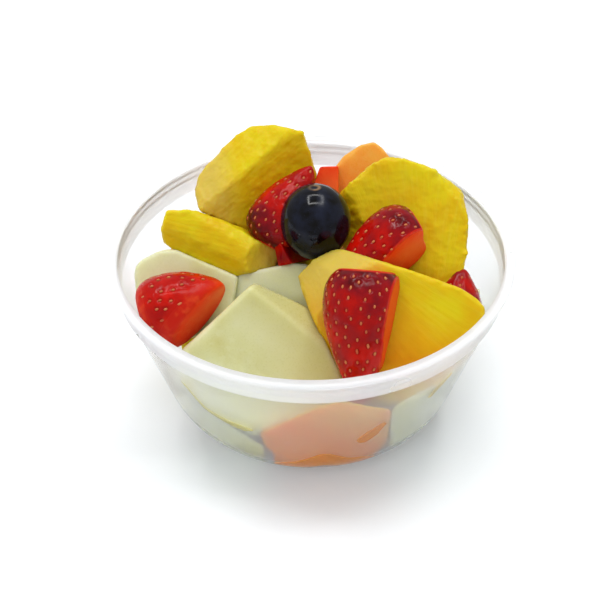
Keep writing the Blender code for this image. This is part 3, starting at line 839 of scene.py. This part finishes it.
# For each berry, in millimetres and degrees: its middle, its length and its widest radius, the way its tip
# points, and each cut as the way it faces, how far out it lies and its lean. After that, whatever differs
# from the usual berry: how blunt its tip is, whether it lies on the heap's slope, whether it's turned anew
# from its profile, how far its skin carries seeds, how far its hulled end is bruised, and how wide the worn
# edge of its cuts is.
USUAL_BERRY = {"blunt": 0.75, "lies": True, "turned_anew": True, "seeded": 1.0, "bruised": 1.0, "worn": 0.4}
BERRIES = {
    "strawberry_top": (
        (-8.0, 13.6, 79.0), 34.0, 12.0, (60.0, 8.0), ((-32.0, 9.0, 22.0), (0.0, 8.0, -90.0)), {},
    ),
    "strawberry_right": (
        (24.4, -5.4, 73.0), 36.0, 13.5, (207.0, 4.0), ((-47.0, 7.3, 24.0), (0.0, 12.0, -90.0)),
        {"bruised": 0.9},
    ),
    "strawberry_front": (
        (17.3, -39.4, 65.2), 46.0, 14.4, (265.0, 2.0), ((-11.0, 9.0, 11.0), (0.0, 7.5, -90.0)),
        {"bruised": 0.75},
    ),
    "strawberry_left": (
        (-44.2, -22.6, 63.0), 32.0, 13.2, (20.0, 6.0), ((-38.0, 7.3, 23.0), (0.0, 10.5, -90.0)),
        {"blunt": 0.5, "bruised": 0.15, "worn": 6.5},
    ),
    "strawberry_edge": (
        (52.4, -12.1, 55.6), 24.0, 10.0, (80.0, 0.0), ((0.0, 7.0, -90.0),), {"bruised": 2.4},
    ),
    "strawberry_back": (
        (5.0, 29.0, 73.1), 24.0, 12.5, (185.0, 0.0),
        ((0.0, 3.5, 80.0), (0.0, 3.7, -90.0), (92.0, 10.2, 0.0), (0.0, 5.8, 0.0)),
        {"turned_anew": False, "seeded": 0.0, "bruised": 0.0},
    ),
    "strawberry_under_grape": (
        (-6.0, 4.5, 66.1), 28.0, 12.5, (250.0, 0.0), ((20.0, 12.0, 20.0),),
        {"turned_anew": False, "seeded": 0.0},
    ),
    "strawberry_bottom": (
        (-20.0, -22.0, 34.0), 34.0, 13.0, (20.0, 40.0), ((200.0, 6.0, 0.0),),
        {"lies": False, "turned_anew": False, "bruised": 0.3},
    ),
    "strawberry_back_rim": (
        (5.0, 52.0, 50.0), 34.0, 13.0, (190.0, -20.0), ((270.0, 7.0, 0.0),),
        {"lies": False, "turned_anew": False, "bruised": 0.3},
    ),
}


def facing(around, lean):
    """A direction on a piece: around degrees from its right to its top, then lean degrees to its front."""
    a, b = radians(around), radians(lean)
    return Vector((cos(b) * cos(a), -sin(b), cos(b) * sin(a)))


def berry_radius(along, widest, blunt):
    """How wide a berry is at a share of its length, from the hulled end at 0 to the tip at 1."""
    return widest * np.sin(pi * np.clip(along, 0.0, 1.0) ** BERRY_SHOULDER).clip(0.0) ** blunt


def round_berry(length, widest, blunt, tip, planes):
    """A berry on its own axes, turned to its profile, hulled flat and cut."""
    body = bmesh.new()
    bmesh.ops.create_uvsphere(body, u_segments=BERRY_SIDES, v_segments=BERRY_RINGS, radius=1.0)
    aim = Vector((0.0, 0.0, -1.0)).rotation_difference(tip).to_matrix()
    for v in body.verts:
        along = (1.0 - v.co.z) / 2
        wide = float(berry_radius(along, widest, blunt)) / max(hypot(v.co.x, v.co.y), 1e-9)
        v.co = aim @ Vector((v.co.x * wide, v.co.y * wide, (0.5 - along) * length))
    for normal, reach in planes:
        around = body.verts[:] + body.edges[:] + body.faces[:]
        cut = bmesh.ops.bisect_plane(
            body, geom=around, dist=ON_PLANE, plane_co=normal * reach, plane_no=normal, clear_outer=True
        )
        rim = [e for e in cut["geom_cut"] if isinstance(e, bmesh.types.BMEdge)]
        if rim:
            bmesh.ops.edgeloop_fill(body, edges=rim)
    bmesh.ops.triangulate(body, faces=body.faces[:])
    bmesh.ops.recalc_face_normals(body, faces=body.faces[:])
    return save_mesh("berry", body)


def make_room(mesh, own_node):
    """Moves each corner that lies deep inside a neighbour out to just under its surface: the soft berry
    gives."""
    places = places_of(mesh)
    low, high = places.min(axis=0), places.max(axis=0)
    for node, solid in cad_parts.items():
        other_low, other_high = (np.array(c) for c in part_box(node))
        if node in (own_node, "bowl") or (other_low > high).any() or (other_high < low).any():
            continue
        tree = BVHTree.FromPolygons(
            [v.co for v in solid.data.vertices], [p.vertices for p in solid.data.polygons]
        )
        for i in np.nonzero(((places > other_low) & (places < other_high)).all(axis=1))[0]:
            spot, normal, _, _ = tree.find_nearest(Vector(places[i]))
            if (Vector(places[i]) - spot).dot(normal) < -PRESSED_IN:
                places[i] = spot - normal * PRESSED_IN
    put_places(mesh, places)


def find_skin(mesh, own, worn, length, widest, blunt, tip, planes):
    """Stores how much each corner belongs to the round skin, and its shares of the length and the radius, and
    gives back how near it is to the middle of the hulled end."""
    along = 0.5 + own @ np.array(tip) / length
    away = own - (own @ np.array(tip))[:, None] * np.array(tip)
    share = np.linalg.norm(away, axis=1) / np.maximum(berry_radius(along, widest, blunt), 1e-6)
    past = [own @ np.array(normal) - reach for normal, reach in planes]
    cut = np.max([step_up(each, -CUT_EDGE - worn, -CUT_EDGE) for each in past], axis=0)
    store(mesh, "skin", 1.0 - cut)
    store(mesh, "along", np.clip(along, 0.0, 1.0))
    store(mesh, "inward", np.clip(share, 0.0, 1.0))
    core = step_up(past[0], *HULL_FACE) * (1.0 - step_up(share, *HOLLOW_SHARES))
    store(mesh, "core", core)
    return core


def seeded_skin():
    """A Geometry Nodes tree that spreads seeds over the skin, sinks a dimple round each, and joins them."""
    sizes = {
        "Seed Gap": SEED_GAP, "Seed Length": SEED_LENGTH, "Seed Width": SEED_WIDTH,
        "Dimple Depth": DIMPLE_DEPTH, "Dimple Width": DIMPLE_WIDTH,
        "Lump Depth": LUMP_DEPTH, "Lump Size": LUMP_SIZE, "Seeded": 1.0,
    }
    others = {"Spread": "Int", "Tip": "Vector", "Berry": "Material", "Seed": "Material"}
    tree, given = new_tree("seeded_skin", sizes, others)
    place = add_node(tree, "GeometryNodeInputPosition").outputs["Position"]
    seeded = calculate(tree, "MULTIPLY", read_stored(tree, "skin", "FLOAT"), given["Seeded"])

    # The seeds' places, evenly spread, and how far into a dimple each corner lies.
    spread = add_node(
        tree, "GeometryNodeDistributePointsOnFaces",
        {
            "Mesh": given["Geometry"], "Distance Min": given["Seed Gap"], "Density Max": MOST_SEEDS,
            "Density Factor": seeded, "Seed": given["Spread"],
        },
        distribute_method="POISSON",
    )
    near = add_node(
        tree, "GeometryNodeProximity", {"Geometry": spread.outputs["Points"]}, target_element="POINTS"
    ).outputs["Distance"]
    dimples = add_node(
        tree, "ShaderNodeMapRange",
        {
            "Value": near, "From Min": 0.0, "From Max": given["Dimple Width"],
            "To Min": 1.0, "To Max": 0.0,
        },
        interpolation_type="SMOOTHSTEP",
    ).outputs["Result"]

    # The berry: gently lumpy, with its dimples sunk, and stored for the painted shade that its material puts
    # in them.
    lump_scale = calculate(tree, "DIVIDE", 1.0, given["Lump Size"])
    lumps = to_height(tree, add_noise(tree, place, lump_scale, detail=2.0), given["Lump Depth"])
    sunk = calculate(tree, "MULTIPLY", dimples, given["Dimple Depth"])
    heights = calculate(tree, "MULTIPLY", calculate(tree, "SUBTRACT", lumps, sunk), seeded)
    shaded_dimples = calculate(tree, "MULTIPLY", dimples, seeded)
    noted = add_node(
        tree, "GeometryNodeStoreNamedAttribute",
        {"Geometry": given["Geometry"], "Name": "dimple", "Value": shaded_dimples}, data_type="FLOAT", domain="POINT",
    )
    berry = paint(tree, raise_surface(tree, noted.outputs["Geometry"], heights), given["Berry"])

    # The seeds: small egg shapes that point at the tip and sit low in their dimples.
    ball = add_node(tree, "GeometryNodeMeshIcoSphere", {"Radius": 0.5, "Subdivisions": 2})
    size = add_node(
        tree, "ShaderNodeCombineXYZ",
        {"X": given["Seed Length"], "Y": given["Seed Width"], "Z": given["Seed Width"]},
    )
    shaped = add_node(
        tree, "GeometryNodeTransform", {"Geometry": ball.outputs["Mesh"], "Scale": size.outputs["Vector"]}
    )
    out = spread.outputs["Normal"]
    upright = add_node(tree, "FunctionNodeAlignRotationToVector", {"Vector": out}, axis="Z")
    aimed = add_node(
        tree, "FunctionNodeAlignRotationToVector",
        {"Rotation": upright.outputs["Rotation"], "Vector": given["Tip"]}, axis="X", pivot_axis="Z",
    )
    down = calculate(tree, "MULTIPLY", given["Dimple Depth"], SEED_SUNK_SHARE)
    seeds = add_node(
        tree, "GeometryNodeInstanceOnPoints",
        {
            "Points": raise_surface(tree, spread.outputs["Points"], down, out),
            "Instance": shaped.outputs["Geometry"], "Rotation": aimed.outputs["Rotation"],
        },
    )
    real = make_real(tree, seeds.outputs["Instances"])
    smooth = add_node(tree, "GeometryNodeSetShadeSmooth", {"Geometry": real})
    joined = add_node(tree, "GeometryNodeJoinGeometry")
    tree.links.new(paint(tree, smooth.outputs["Geometry"], given["Seed"]), joined.inputs["Geometry"])
    tree.links.new(berry, joined.inputs["Geometry"])
    add_node(tree, "NodeGroupOutput", {0: joined.outputs["Geometry"]})
    return tree


def berry_skin():
    """Deep glossy red skin, purple towards a bruised hull end and darker with painted shade in its dimples,
    and orange-red flesh where it's cut, paler towards its middle."""
    material, tree, output, place = new_material("strawberry_red")
    clouds = add_noise(tree, place, scale=110.0, detail=3.0)
    towards_hull = add_range(tree, read_value(tree, "along"), (0.06, 0.55), (0.5, 0.08))
    hull_share = calculate(tree, "MULTIPLY", towards_hull, read_value(tree, "bruised"))
    dark = calculate(tree, "ADD", clouds, hull_share)
    reds = add_ramp(tree, dark, (0.35, SKIN_RED), (0.98, HULL_EDGE), (0.6, SKIN_DEEP), (0.82, SKIN_MAROON))
    # Painted shade in the dimples round the seeds.
    shaded_dimples = mix_colours(tree, read_value(tree, "dimple"), reds, SKIN_DIMPLE_SHADE)
    tones = add_ramp(tree, read_value(tree, "inward"), (0.15, CUT_PALE), (1.0, CUT_RIM), (0.88, CUT_DEEP))
    veins = add_range(tree, add_noise(tree, place, scale=320.0, detail=3.0), (0.5, 0.75), (0.0, 0.35))
    flesh = mix_colours(tree, veins, tones, CUT_PALE)
    cored = mix_colours(tree, read_value(tree, "core"), flesh, CORE_PALE)
    skin = read_value(tree, "skin")
    fine = add_noise(tree, place, scale=700.0, detail=3.0)
    finish_surface(tree, output, {
        "Base Color": mix_colours(tree, skin, cored, shaded_dimples),
        "Roughness": add_range(tree, skin, (0.0, 1.0), (0.42, 0.14)),
        "IOR": 1.26,
        "Subsurface Weight": 0.2,
        "Subsurface Radius": (1.0, 0.12, 0.05),
        "Subsurface Scale": 2.5 * MM,
        "Normal": add_bump(tree, fine, strength=0.3, depth=0.35 * MM),
    })
    return material


def seed_shell():
    """Pale straw and salmon seeds, some browner than others."""
    material, tree, output, place = new_material("strawberry_seed")
    tones = add_noise(tree, place, scale=260.0, detail=1.0)
    finish_surface(tree, output, {
        "Base Color": add_ramp(tree, tones, (0.35, SEED_BROWN), (0.65, SEED_STRAW)),
        "Roughness": 0.4,
        "IOR": 1.35,
    })
    return material


seed_tree, red_skin, straw_seed = seeded_skin(), berry_skin(), seed_shell()
for number, (node, (middle, length, widest, tip, cuts, unlike)) in enumerate(BERRIES.items()):
    own = {**USUAL_BERRY, **unlike}
    lying = Matrix.Rotation(SLOPE, 3, "X") if own["lies"] else Matrix.Identity(3)
    own_tip = facing(*tip)
    planes = [(-own_tip, HULLED * length * MM)]
    planes += [(facing(around, lean), reach * MM) for around, reach, lean in cuts]
    shape = (length * MM, widest * MM, own["blunt"], own_tip, planes)
    if own["turned_anew"]:
        berry = round_berry(*shape)
        berry.transform(Matrix.Translation(Vector(middle) * MM) @ lying.to_4x4())
    else:
        berry = packed_copy(node)
    berry = even_mesh(berry, BERRY_CELL)
    wear_round(berry, int(BERRY_WORN_PASSES * (1.0 + 2.0 * own["worn"])))
    from_middle = (places_of(berry) - np.array(middle) * MM) @ np.array(lying)
    core = find_skin(berry, from_middle, own["worn"] * MM, *shape)
    put_places(berry, places_of(berry) + HOLLOW * core[:, None] * np.array(lying @ own_tip))
    store(berry, "bruised", np.full(len(berry.vertices), own["bruised"]))
    if own["turned_anew"]:
        make_room(berry, node)
    berry = run_tree(
        berry, seed_tree,
        {
            "Spread": FIRST_SPREAD + number, "Tip": tuple(lying @ own_tip), "Seeded": own["seeded"],
            "Berry": red_skin, "Seed": straw_seed,
        },
    )
    fit_to_wall(berry, ())
    serve(node, berry)

# ---------------------------------------------------------------- the grape
# One whole seedless black grape, almost round, pulled off its stem: a small brown scar in a ring shows near
# its top. The skin is smooth and near black with a thin blue-grey bloom, rubbed off in patches.

GRAPE_STEPS = 96
GRAPE_RADIUS = 12.65 * MM
GRAPE_HALF_LENGTH = 13.6 * MM
SCAR_WAY = (-0.03, 0.2, 0.98)
SCAR_RADIUS = 1.8 * MM
SCAR_DEPTH = 0.4 * MM
RING_HALF = 0.45 * MM
RING_PROUD = 0.13 * MM
RING_FADE = (0.2 * MM, 0.6 * MM)
RING_BREAK = (-1.2 * MM, -0.3 * MM)
RING_LEFT_SHARE = 0.35
GRAPE_BLACK = (0.0015, 0.0012, 0.0012)
GRAPE_BLOOM = (0.01, 0.013, 0.028)
GRAPE_SCAR = (0.3, 0.17, 0.08)


def grape_body():
    """A round body, a little longer than it's wide, with a small sunk scar and a raised ring, fainter at its
    left."""
    low, high = (Vector(c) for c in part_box("grape"))
    middle = (low + high) / 2
    body = bmesh.new()
    bmesh.ops.create_uvsphere(body, u_segments=GRAPE_STEPS, v_segments=GRAPE_STEPS // 2, radius=1.0)
    scar = Vector(SCAR_WAY).normalized()
    scar_turn = scar.to_track_quat("Z", "Y").to_matrix()
    for v in body.verts:
        v.co = scar_turn @ v.co
        off = v.co.angle(scar, 0.0) * GRAPE_RADIUS
        sunk = max(0.0, 1.0 - (off / SCAR_RADIUS) ** 2)
        ring = max(0.0, 1.0 - ((off - SCAR_RADIUS) / RING_HALF) ** 2)
        longer = 1.0 + (GRAPE_HALF_LENGTH / GRAPE_RADIUS - 1.0) * v.co.dot(UP_SLOPE) ** 2
        v.co = middle + v.co * (GRAPE_RADIUS * longer - sunk * SCAR_DEPTH + ring * RING_PROUD)
    bmesh.ops.recalc_face_normals(body, faces=body.faces[:])
    mesh = save_mesh("grape_body", body)
    away = places_of(mesh) - np.array(middle)
    off = np.linalg.norm(away - (away @ np.array(scar))[:, None] * np.array(scar), axis=1)
    on_ring = 1.0 - step_up(np.abs(off - SCAR_RADIUS), *RING_FADE)
    whole = step_up(away @ np.array(RIGHT), *RING_BREAK)
    strength = on_ring * (RING_LEFT_SHARE + (1.0 - RING_LEFT_SHARE) * whole)
    store(mesh, "scar", np.where(away @ np.array(scar) > 0.0, strength, 0.0))
    return mesh


def grape_skin():
    """Near black skin, glossy where the blue-grey bloom is rubbed off it, and a brown scar."""
    material, tree, output, place = new_material("grape_black")
    patches = add_noise(tree, place, scale=190.0, detail=4.0)
    bloom = add_range(tree, patches, (0.35, 0.68), (0.0, 1.0))
    skin = mix_colours(tree, bloom, GRAPE_BLACK, GRAPE_BLOOM)
    finish_surface(tree, output, {
        "Base Color": mix_colours(tree, read_value(tree, "scar"), skin, GRAPE_SCAR),
        "Roughness": add_range(tree, bloom, (0.0, 1.0), (0.1, 0.24)),
        "IOR": 1.3,
    })
    return material


grape_mesh = grape_body()
grape_mesh.materials.append(grape_skin())
serve("grape", grape_mesh)

# ---------------------------------------------------------------- the table, the lamps and the camera
# A plain white table under soft studio light: an oblong ring of strip lamps overhead, a little behind the
# bowl, and a weak box lamp in front. The table itself glows faintly bluish though it is no lamp: painted
# light that lifts the shade on it and lights the bowl from below. The camera looks down on the front of the
# heap at 38 degrees.

TABLE_HALF = 2.0
TABLE_WHITE = (0.93, 0.95, 0.97)
TABLE_GLOW = (0.82, 0.93, 1.0)
TABLE_GLOW_STRENGTH = 0.14
RING_HEIGHT = 3.0
RING_HALF_WIDTH = 1.05
RING_FRONT, RING_BACK = 0.0, 1.65
RING_MIDDLE = (RING_FRONT + RING_BACK) / 2
STRIP = 0.17
STRIP_POWER = 17.0
FRONT_LAMP_PLACE = (-0.9, -2.4, 2.4)
FRONT_LAMP_SIZE = 1.6
FRONT_LAMP_POWER = 20.0
WORLD_LIGHT = 0.5
RIM_MIDDLE = Vector((0.0, 0.0, 0.07))
CAMERA_RISE = radians(37.85)
CAMERA_AWAY = 0.6
CAMERA_LENS = 100.4
CAMERA_SENSOR = 36.0
# The view is turned a little to the left and down: both shifts at this distance along it.
VIEW_DEPTH = 1673.2
LEFT_TURN = atan(11.0 / VIEW_DEPTH)
DOWN_TURN = atan(50.9 / VIEW_DEPTH)

corners = [(x * TABLE_HALF, y * TABLE_HALF, 0.0) for x, y in ((-1, -1), (1, -1), (1, 1), (-1, 1))]
table_mesh = bpy.data.meshes.new("table")
table_mesh.from_pydata(corners, [], [(0, 1, 2, 3)])
table = add_object("table", table_mesh)
# Painted light: the table glows faintly, bluish, though it is no lamp.
glowing_table, table_tree, table_output, _ = new_material("glowing_table")
finish_surface(table_tree, table_output, {
    "Base Color": TABLE_WHITE,
    "Roughness": 0.9,
    "Emission Color": TABLE_GLOW,
    "Emission Strength": TABLE_GLOW_STRENGTH,
})
table_mesh.materials.append(glowing_table)


def soft_lamp(name, place, aimed_at, width, depth, power, mirrored=True):
    """An oblong lamp that lights what it's aimed at, and shows in glossy things or not."""
    lamp = bpy.data.lights.new(name, "AREA")
    lamp.shape, lamp.size, lamp.size_y, lamp.energy = "RECTANGLE", width, depth, power
    holder = add_object(name, lamp)
    aim = (Vector(aimed_at) - Vector(place)).to_track_quat("-Z", "Y")
    holder.matrix_world = Matrix.Translation(place) @ aim.to_matrix().to_4x4()
    holder.visible_glossy = mirrored


for name, x, y, width, depth in (
    ("ring_front", 0.0, RING_FRONT, 2 * RING_HALF_WIDTH, STRIP),
    ("ring_back", 0.0, RING_BACK, 2 * RING_HALF_WIDTH, STRIP),
    ("ring_left", -RING_HALF_WIDTH, RING_MIDDLE, STRIP, RING_BACK - RING_FRONT),
    ("ring_right", RING_HALF_WIDTH, RING_MIDDLE, STRIP, RING_BACK - RING_FRONT),
):
    soft_lamp(name, (x, y, RING_HEIGHT), (x, y, 0.0), width, depth, STRIP_POWER)
soft_lamp(
    "front_lamp", FRONT_LAMP_PLACE, RIM_MIDDLE, FRONT_LAMP_SIZE, FRONT_LAMP_SIZE, FRONT_LAMP_POWER,
    mirrored=False,
)

world = bpy.data.worlds.new("studio")
world.use_nodes = True
world.node_tree.nodes["Background"].inputs["Color"].default_value = (1.0, 1.0, 1.0, 1.0)
world.node_tree.nodes["Background"].inputs["Strength"].default_value = WORLD_LIGHT
bpy.context.scene.world = world
bpy.context.scene.view_settings.view_transform = "Standard"

camera = add_object("camera", bpy.data.cameras.new("camera"))
camera.data.sensor_width, camera.data.lens = CAMERA_SENSOR, CAMERA_LENS
camera_place = RIM_MIDDLE + Vector((0.0, -cos(CAMERA_RISE), sin(CAMERA_RISE))) * CAMERA_AWAY
camera.matrix_world = (
    Matrix.Translation(camera_place)
    @ Matrix.Rotation(pi / 2 - CAMERA_RISE, 4, "X")
    @ Matrix.Rotation(-DOWN_TURN, 4, "X")
    @ Matrix.Rotation(LEFT_TURN, 4, "Y")
)
bpy.context.scene.camera = camera
